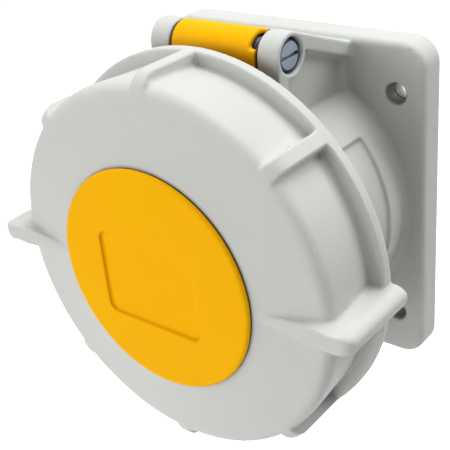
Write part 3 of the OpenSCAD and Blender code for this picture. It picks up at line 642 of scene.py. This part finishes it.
@dataclass(frozen=True)
class MouldSoftener:
    """Turns a sharp CAD solid into the same solid with the soft edges of a moulding.

    The solid becomes a field of distances. Drawn in and let out again by one radius it gets round
    edges, and let out and drawn in by another it gets fillets in its corners. Faces stay in place.

    Attributes:
        edge_mm: Radius of the edges.
        corner_mm: Radius of the fillets.
        ends: Finger ends with rounder edges, or None.
        recess: Recess to sink, or None.
        cell_mm: Cell of the field.
        thin_out: Share by which flat areas are thinned out, 0 to 1.
        near_mm: Distance from the solid up to which a point is shaded as the solid's own face.
        clear_mm: Distance from which a point is shaded by the new mesh alone.
        unlike: Cosine between the two shadings up to which the new mesh's own one holds.
        alike: Cosine from which the solid's one holds.
    """

    edge_mm: float = 0.2
    corner_mm: float = 0.15
    ends: FingerEnds | None = None
    recess: Recess | None = None
    cell_mm: float = 0.25
    thin_out: float = 0.07
    near_mm: float = 0.015
    clear_mm: float = 0.05
    unlike: float = 0.97
    alike: float = 0.995

    @staticmethod
    def points(mesh: bpy.types.Mesh) -> np.ndarray:
        """Reads the points of a mesh.

        Args:
            mesh: Mesh to read.

        Returns:
            One row of X, Y and Z for each point, in metres.
        """
        flat = np.empty(3 * len(mesh.vertices))
        mesh.vertices.foreach_get("co", flat)
        return flat.reshape(-1, 3)

    @staticmethod
    def triangles(mesh: bpy.types.Mesh, detail: str) -> np.ndarray:
        """Reads the triangles of a mesh.

        Args:
            mesh: Mesh to read.
            detail: Either vertices, for the numbers of its points, or loops, for its corners.

        Returns:
            One row of three numbers for each triangle.
        """
        mesh.calc_loop_triangles()
        flat = np.empty(3 * len(mesh.loop_triangles), dtype=np.int32)
        mesh.loop_triangles.foreach_get(detail, flat)
        return flat.reshape(-1, 3)

    @staticmethod
    def directions(normals: bpy.types.bpy_prop_collection) -> np.ndarray:
        """Reads the normals that a mesh keeps.

        Args:
            normals: Its vertex_normals or corner_normals.

        Returns:
            One row of X, Y and Z for each.
        """
        flat = np.empty(3 * len(normals))
        normals.foreach_get("vector", flat)
        return flat.reshape(-1, 3)

    def distances(self, points: np.ndarray, triangles: np.ndarray | None,
                  quads: np.ndarray | None = None) -> openvdb.FloatGrid:
        """Makes the field of distances of a closed surface.

        Args:
            points: Points in millimetres.
            triangles: Triangles between them.
            quads: Quads between them.

        Returns:
            The field, in millimetres.
        """
        most = max(self.edge_mm, self.corner_mm, self.ends.edge_mm if self.ends else 0)
        reach = math.ceil(most / self.cell_mm) + 2
        return openvdb.FloatGrid.createLevelSetFromPolygons(
            points.astype(np.float32), triangles=triangles, quads=quads,
            transform=openvdb.createLinearTransform(voxelSize=self.cell_mm), halfWidth=reach)

    def shifted(self, grid: openvdb.FloatGrid, way_mm: float) -> openvdb.FloatGrid:
        """Field of the surface at a distance outside the given field's own."""
        return self.distances(*grid.convertToPolygons(isovalue=way_mm))

    def opened(self, grid: openvdb.FloatGrid, radius_mm: float) -> openvdb.FloatGrid:
        """Field of the surface with its edges rounded."""
        return self.shifted(self.shifted(grid, -radius_mm), radius_mm)

    def with_ends(self, plain: openvdb.FloatGrid, rounder: openvdb.FloatGrid) -> openvdb.FloatGrid:
        """Passes from one field to another towards the finger ends.

        Args:
            plain: Field with the edges of the rest.
            rounder: Field with the edges of the finger ends.

        Returns:
            The blended field.
        """
        low, high = (np.array(end) for end in plain.evalActiveVoxelBoundingBox())
        shape = tuple(int(count) for count in high - low + 1)
        corner = tuple(int(number) for number in low)
        cells = []
        for grid in (plain, rounder):
            values = np.full(shape, grid.background, dtype=np.float32)
            grid.copyToArray(values, ijk=corner)
            cells.append(values)
        both = openvdb.FloatGrid(plain.background)
        both.transform = plain.transform
        both.gridClass = openvdb.GridClass.LEVEL_SET
        share = self.ends.weights(low, shape, self.cell_mm)
        both.copyFromArray(cells[0] + (cells[1] - cells[0]) * share, ijk=corner)
        return both

    def surface(self, source: bpy.types.Mesh, name: str) -> bpy.types.Mesh:
        """Makes the softened mesh.

        Args:
            source: Mesh of the sharp solid.
            name: Name of the new mesh.

        Returns:
            The new mesh.
        """
        corners = self.points(source) / MM
        if self.recess:
            corners = self.recess.sunk(corners)
        sharp = self.distances(corners, self.triangles(source, "vertices").astype(np.uint32))
        eased = self.opened(sharp, self.edge_mm)
        if self.ends:
            eased = self.with_ends(eased, self.opened(sharp, self.ends.edge_mm))
        points, triangles, quads = self.shifted(eased, self.corner_mm).convertToPolygons(
            isovalue=-self.corner_mm, adaptivity=self.thin_out)
        mesh = bpy.data.meshes.new(name)
        faces = [*triangles[:, ::-1].tolist(), *quads[:, ::-1].tolist()]
        mesh.from_pydata((points * MM).tolist(), [], faces)
        mesh.polygons.foreach_set("use_smooth", [True] * len(faces))
        mesh.update()
        return mesh

    def solid_facing(self, source: bpy.types.Mesh,
                     spots: np.ndarray) -> tuple[np.ndarray, np.ndarray]:
        """Finds how the solid's true curved faces look, nearest to some spots.

        Args:
            source: Mesh of the sharp solid.
            spots: The spots in metres.

        Returns:
            A direction for each spot, and its distance from the solid in millimetres.
        """
        corners = self.points(source)
        triangles = self.triangles(source, "vertices")
        loops = self.triangles(source, "loops")
        facing = self.directions(source.corner_normals)
        tree = BVHTree.FromPolygons(corners.tolist(), triangles.tolist())
        hits = [tree.find_nearest(spot) for spot in spots.tolist()]
        place = np.array([hit[0][:] for hit in hits])
        index = np.array([hit[2] for hit in hits])
        gap = np.array([hit[3] for hit in hits]) / MM
        a, b, c = (corners[triangles[index, side]] for side in range(3))
        span = np.linalg.norm(np.cross(b - a, c - a), axis=1) + TINY
        shares = [np.linalg.norm(np.cross(one - place, two - place), axis=1) / span
                  for one, two in ((b, c), (c, a), (a, b))]
        true = sum(share[:, None] * facing[loops[index, side]]
                   for side, share in enumerate(shares))
        return true / (np.linalg.norm(true, axis=1, keepdims=True) + TINY), gap

    def true_normals(self, mesh: bpy.types.Mesh, source: bpy.types.Mesh) -> None:
        """Shades what lies on the sharp solid as its true curved faces.

        Args:
            mesh: Softened mesh.
            source: Mesh of the sharp solid.
        """
        own = self.directions(mesh.vertex_normals)
        true, gap = self.solid_facing(source, self.points(mesh))
        cosine = np.sum(true * own, axis=1)
        agree = np.clip((cosine - self.unlike) / (self.alike - self.unlike), 0, 1)
        near = np.clip((self.clear_mm - gap) / (self.clear_mm - self.near_mm), 0, 1)
        mixed = own + (true - own) * (agree * near)[:, None]
        mixed /= np.linalg.norm(mixed, axis=1, keepdims=True)
        mesh.normals_split_custom_set_from_vertices(mixed.tolist())

    def soften(self, node: str, name: str) -> bpy.types.Object:
        """Makes the softened copy of a CAD node.

        Args:
            node: Name of the node.
            name: Name of the new piece.

        Returns:
            The new piece, still without a finish.
        """
        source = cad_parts[node].data
        mesh = self.surface(source, name)
        self.true_normals(mesh, source)
        piece = bpy.data.objects.new(name, mesh)
        bpy.context.scene.collection.objects.link(piece)
        return piece


@dataclass
class Assembly(ABC):
    """A sub-assembly of the socket: CAD nodes that it dresses and pieces that it adds.

    Attributes:
        body: Body that its added pieces ride on.
    """

    body: Body = Body.BASE

    @abstractmethod
    def build(self) -> list[bpy.types.Object]:
        """Makes and dresses the sub-assembly's pieces.

        Returns:
            Every visible piece of the sub-assembly.
        """

    def dress(self, node: str, finish: Finish) -> bpy.types.Object:
        """Gives a CAD node a finish.

        Args:
            node: Name of the node.
            finish: Finish for all its faces.

        Returns:
            The node's object.
        """
        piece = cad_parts[node]
        piece.data.materials.clear()
        piece.data.materials.append(finish.material())
        return piece

    def mould(self, node: str, name: str, finish: Finish,
              softener: MouldSoftener) -> bpy.types.Object:
        """Puts a softened moulding in the place of a CAD node.

        Args:
            node: Name of the node.
            name: Name of the new piece.
            finish: Finish of the piece, named as the node's material slot.
            softener: How its edges are softened.

        Returns:
            The new piece.
        """
        piece = softener.soften(node, name)
        piece.data.materials.append(finish.material())
        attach(piece, self.body.value)
        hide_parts(node)
        return piece


@dataclass
class Housing(Assembly):
    """Flange, collar and hinge bracket in one moulding, with the gasket and sleeves behind.

    Attributes:
        bolt_side_mm: Distance of each bolt hole from the middle, across and up.
        sleeve_r_mm: Outer radius of the sleeve that lines a bolt hole through the gasket.
        sleeve_wall_mm: Wall of the sleeve.
        sleeve_len_mm: Length of the sleeve from the panel forward.
        sleeve_back_mm: Distance of its back end from the panel.
        sleeve_lead_mm: Bevel at its ends.
        sleeve_steps: Steps round the sleeve.
        sharp_angle: Angle in degrees from which an edge of the sleeve is shaded sharp.
        soft: How the housing's edges are softened.
    """

    bolt_side_mm: float = 30.0
    sleeve_r_mm: float = 2.72
    sleeve_wall_mm: float = 0.2
    sleeve_len_mm: float = 3.2
    sleeve_back_mm: float = 0.02
    sleeve_lead_mm: float = 0.06
    sleeve_steps: int = 72
    sharp_angle: float = 35.0
    soft: MouldSoftener = MouldSoftener(recess=CollarPanel())

    def sleeve_section(self) -> list[tuple[float, float]]:
        """Works out the section of a sleeve.

        Returns:
            Pairs of radius and distance in front of the panel, in millimetres.
        """
        outer, inner = self.sleeve_r_mm, self.sleeve_r_mm - self.sleeve_wall_mm
        back, front, lead = self.sleeve_back_mm, self.sleeve_len_mm, self.sleeve_lead_mm
        return [(outer - lead, back), (outer, back + lead),
                (outer, front - lead), (outer - lead, front),
                (inner + lead, front), (inner, front - lead),
                (inner, back + lead), (inner + lead, back)]

    def sleeve(self, across: int, up: int, first: int) -> tuple[list, list]:
        """Turns one sleeve round its bolt hole.

        Args:
            across: -1 for a hole on the left, 1 for one on the right.
            up: -1 for a hole below, 1 for one above.
            first: Number of the sleeve's first point.

        Returns:
            Its points in metres, and its faces as numbers of points.
        """
        section = self.sleeve_section()
        count = len(section)
        points, faces = [], []
        for step in range(self.sleeve_steps):
            turn = math.tau * step / self.sleeve_steps
            points += [((across * self.bolt_side_mm + radius * math.cos(turn)) * MM, -ahead * MM,
                        (up * self.bolt_side_mm + radius * math.sin(turn)) * MM)
                       for radius, ahead in section]
            here = first + step * count
            there = first + (step + 1) % self.sleeve_steps * count
            faces += [(here + side, there + side, there + (side + 1) % count,
                       here + (side + 1) % count) for side in range(count)]
        return points, faces

    def bolt_sleeves(self) -> bpy.types.Object:
        """Makes the four sleeves that line the bolt holes through the gasket.

        Returns:
            The sleeves as one piece.
        """
        points, faces = [], []
        for across in (-1, 1):
            for up in (-1, 1):
                more_points, more_faces = self.sleeve(across, up, len(points))
                points += more_points
                faces += more_faces
        mesh = bpy.data.meshes.new("bolt_sleeves")
        mesh.from_pydata(points, [], faces)
        mesh.polygons.foreach_set("use_smooth", [True] * len(faces))
        mesh.set_sharp_from_angle(angle=math.radians(self.sharp_angle))
        sleeves = bpy.data.objects.new("bolt_sleeves", mesh)
        bpy.context.scene.collection.objects.link(sleeves)
        mesh.materials.append(HOUSING_GREY.material())
        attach(sleeves, self.body.value)
        return sleeves

    def build(self) -> list[bpy.types.Object]:
        """Moulds the housing, dresses its gasket and makes the sleeves."""
        return [self.mould("housing", "housing_moulding", HOUSING_GREY, self.soft),
                self.dress("panel_gasket", GASKET_RUBBER), self.bolt_sleeves()]


@dataclass
class ContactInsert(Assembly):
    """Insulating carriers, contacts, spring rings, terminals and screws.

    Attributes:
        poles: Names of the poles, each with a contact and a spring ring.
    """

    poles: tuple[str, ...] = ("line", "neutral", "earth")

    def build(self) -> list[bpy.types.Object]:
        """Dresses the carriers and all the metal parts in them.

        Returns:
            The carriers and the metal parts.
        """
        pieces = [self.dress("carrier_front", POST_GREY), self.dress("carrier_rear", CHAMBER_GREY)]
        for pole in self.poles:
            pieces.append(self.dress(f"contact_{pole}", CONTACT_BRASS))
            pieces.append(self.dress(f"grip_{pole}", SPRING_STEEL))
        for node in ("terminal_screws", "terminal_plates", "carrier_screws"):
            pieces.append(self.dress(node, SCREW_STEEL))
        return pieces


@dataclass
class Hinge(Assembly):
    """Hinge pin and torsion spring."""

    def build(self) -> list[bpy.types.Object]:
        """Dresses the pin and the spring."""
        # The spring takes the darker copy of the spring steel, which paints the shade of the
        # barrel's notch.
        return [self.dress("hinge_pin", PIN_STEEL), self.dress("hinge_spring", SHADED_HINGE_STEEL)]


@dataclass
class HingedLid(Assembly):
    """Lid with its hub and barrel, its seal, the round cap and the cap's screws.

    Attributes:
        soft: How the lid's edges are softened.
        cap_soft: How the thin cap's edges are softened.
    """

    body: Body = Body.LID
    soft: MouldSoftener = MouldSoftener()
    cap_soft: MouldSoftener = MouldSoftener(edge_mm=0.08, corner_mm=0.05, recess=LabelRecess(),
                                            cell_mm=0.15)

    def build(self) -> list[bpy.types.Object]:
        """Moulds the lid and its cap and dresses the seal and the screws.

        Returns:
            The lid's pieces.
        """
        return [self.mould("lid", "lid_moulding", LID_YELLOW, self.soft),
                self.dress("lid_seal", SEAL_RUBBER),
                self.mould("lid_cap", "cap_moulding", CAP_YELLOW, self.cap_soft),
                self.dress("cap_screws", SCREW_STEEL)]


@dataclass
class BayonetRing(Assembly):
    """Bayonet ring with its ribs and wings.

    Attributes:
        soft: How the ring's edges are softened.
    """

    body: Body = Body.RING
    soft: MouldSoftener = MouldSoftener(ends=FingerEnds(edge_mm=1.3, start_mm=48.2, full_mm=51.0))

    def build(self) -> list[bpy.types.Object]:
        """Moulds the ring."""
        return [self.mould("lid_ring", "ring_moulding", RING_GREY, self.soft)]


@dataclass
class SoftBox:
    """A square studio light.

    Attributes:
        name: Name of the light.
        azimuth: Direction that it comes from, in degrees about Z from the front.
        elevation: Height of that direction in degrees.
        power: Power in watts.
        side: Side of the light in metres.
        distance: Distance from the socket in metres.
    """

    name: str
    azimuth: float
    elevation: float
    power: float
    side: float = 0.4
    distance: float = 0.7

    def place(self, aim: Vector) -> bpy.types.Object:
        """Adds the light, turned to a point.

        Args:
            aim: Point that the light faces.

        Returns:
            The light's object.
        """
        lamp = bpy.data.lights.new(self.name, "AREA")
        lamp.shape, lamp.size, lamp.energy = "SQUARE", self.side, self.power
        light = bpy.data.objects.new(self.name, lamp)
        turn, rise = math.radians(self.azimuth), math.radians(self.elevation)
        way = Vector((math.sin(turn) * math.cos(rise), -math.cos(turn) * math.cos(rise),
                      math.sin(rise)))
        light.location = aim + way * self.distance
        light.rotation_euler = way.to_track_quat("Z", "Y").to_euler()
        bpy.context.scene.collection.objects.link(light)
        return light


@dataclass
class Studio:
    """White studio: soft lights, a pale world and a floor below.

    Attributes:
        aim: Point that the lights face.
        floor_z: Height of the floor, far below the socket.
        floor_side: Side of the floor.
        floor_grey: Grey of the floor where light falls on it.
        floor_glow: Strength by which the eye sees it whiter than it is lit.
        ambient: Strength of the world for diffuse light.
        boxes: The lights.
    """

    aim: Vector = field(default_factory=lambda: Vector((0, -0.03, 0)))
    floor_z: float = -0.32
    floor_side: float = 12.0
    floor_grey: float = 0.86
    floor_glow: float = 0.94
    ambient: float = 0.04
    boxes: tuple[SoftBox, ...] = (
        SoftBox("light_top", 180, 75, 3.5),
        SoftBox("light_top_right", 90, 65, 1.4),
        SoftBox("light_front", 0, 10, 1.65),
        SoftBox("light_front_low", 0, -25, 1.25),
        SoftBox("light_front_left", -45, 20, 1.55),
        SoftBox("light_back_right", 135, 30, 2.0),
        SoftBox("light_back_left", -110, 50, 0.5),
    )

    def white_for_the_eye(self, tree: bpy.types.NodeTree, dim: bpy.types.NodeSocket,
                          bright: bpy.types.NodeSocket) -> bpy.types.NodeSocket:
        """Mixes two shaders so that camera, glossy and transmission rays meet the bright one.

        Args:
            tree: Node tree to build in.
            dim: Shader for every other ray.
            bright: Shader for those three kinds of ray.

        Returns:
            The mixed shader.
        """
        path = tree.nodes.new("ShaderNodeLightPath")
        total = path.outputs["Is Camera Ray"]
        for kind in ("Is Glossy Ray", "Is Transmission Ray"):
            higher = tree.nodes.new("ShaderNodeMath")
            higher.operation = "MAXIMUM"
            tree.links.new(total, higher.inputs[0])
            tree.links.new(path.outputs[kind], higher.inputs[1])
            total = higher.outputs[0]
        mix = tree.nodes.new("ShaderNodeMixShader")
        tree.links.new(total, mix.inputs[0])
        tree.links.new(dim, mix.inputs[1])
        tree.links.new(bright, mix.inputs[2])
        return mix.outputs[0]

    def world(self) -> None:
        """Makes the world white for the eye and softer as a light."""
        world = bpy.data.worlds.new("studio_air")
        world.use_nodes = True
        bpy.context.scene.world = world
        tree = world.node_tree
        tree.nodes.clear()
        shades = []
        for strength in (self.ambient, 1.0):
            shade = tree.nodes.new("ShaderNodeBackground")
            shade.inputs["Color"].default_value = (1, 1, 1, 1)
            shade.inputs["Strength"].default_value = strength
            shades.append(shade.outputs[0])
        out = tree.nodes.new("ShaderNodeOutputWorld")
        tree.links.new(self.white_for_the_eye(tree, *shades), out.inputs["Surface"])

    def floor(self) -> bpy.types.Object:
        """Adds the pale floor.

        Returns:
            The floor's object.
        """
        mesh = bpy.data.meshes.new("floor")
        half = self.floor_side / 2
        mesh.from_pydata([(-half, -half, 0), (half, -half, 0), (half, half, 0), (-half, half, 0)],
                         [], [(0, 1, 2, 3)])
        floor = bpy.data.objects.new("floor", mesh)
        floor.location.z = self.floor_z
        bpy.context.scene.collection.objects.link(floor)
        material = bpy.data.materials.new("floor_white")
        material.use_nodes = True
        tree = material.node_tree
        tree.nodes.clear()
        matt = tree.nodes.new("ShaderNodeBsdfDiffuse")
        matt.inputs["Color"].default_value = (self.floor_grey,) * 3 + (1,)
        glow = tree.nodes.new("ShaderNodeEmission")
        glow.inputs["Strength"].default_value = self.floor_glow
        both = tree.nodes.new("ShaderNodeAddShader")
        tree.links.new(matt.outputs[0], both.inputs[0])
        tree.links.new(glow.outputs[0], both.inputs[1])
        out = tree.nodes.new("ShaderNodeOutputMaterial")
        tree.links.new(self.white_for_the_eye(tree, matt.outputs[0], both.outputs[0]),
                       out.inputs["Surface"])
        mesh.materials.append(material)
        return floor

    def build(self) -> None:
        """Sets up the world, the floor and the lights."""
        self.world()
        self.floor()
        for box in self.boxes:
            box.place(self.aim)
        bpy.context.scene.view_settings.view_transform = "Standard"


@dataclass(frozen=True)
class Viewpoint:
    """The photograph's camera.

    Attributes:
        azimuth: Direction of the camera, in degrees about Z from the front.
        elevation: Height of that direction in degrees.
        roll: Roll about the line of sight in degrees.
        place_mm: Place of the camera.
        lens_mm: Focal length.
        sensor_mm: Width of the sensor.
        clip: Nearest and furthest distance seen, in metres.
    """

    azimuth: float = 41.01
    elevation: float = 27.729
    roll: float = -5.786
    place_mm: tuple[float, float, float] = (131.46, -189.11, 107.22)
    lens_mm: float = 74.3068
    sensor_mm: float = 36.0
    clip: tuple[float, float] = (0.01, 50.0)

    def build(self) -> bpy.types.Object:
        """Adds the camera and makes it the scene's.

        Returns:
            The camera's object.
        """
        lens = bpy.data.cameras.new("photo_camera")
        lens.sensor_width, lens.lens = self.sensor_mm, self.lens_mm
        lens.clip_start, lens.clip_end = self.clip
        camera = bpy.data.objects.new("photo_camera", lens)
        look = Euler((math.radians(90 - self.elevation), 0, math.radians(self.azimuth))).to_matrix()
        turned = look @ Matrix.Rotation(math.radians(self.roll), 3, "Z")
        camera.matrix_world = Matrix.LocRotScale(Vector(self.place_mm) * MM, turned, None)
        bpy.context.scene.collection.objects.link(camera)
        bpy.context.scene.camera = camera
        return camera


def main() -> None:
    """Builds the camera, the studio and every sub-assembly in order."""
    logging.basicConfig(level=logging.INFO, format="%(name)s: %(message)s")
    Viewpoint().build()
    Studio().build()
    for assembly in (Housing(), ContactInsert(), Hinge(), HingedLid(), BayonetRing()):
        for piece in assembly.build():
            LOG.info("%s: %s, %d faces", type(assembly).__name__, piece.name,
                     len(piece.data.polygons))


if __name__ == "__main__":
    main()
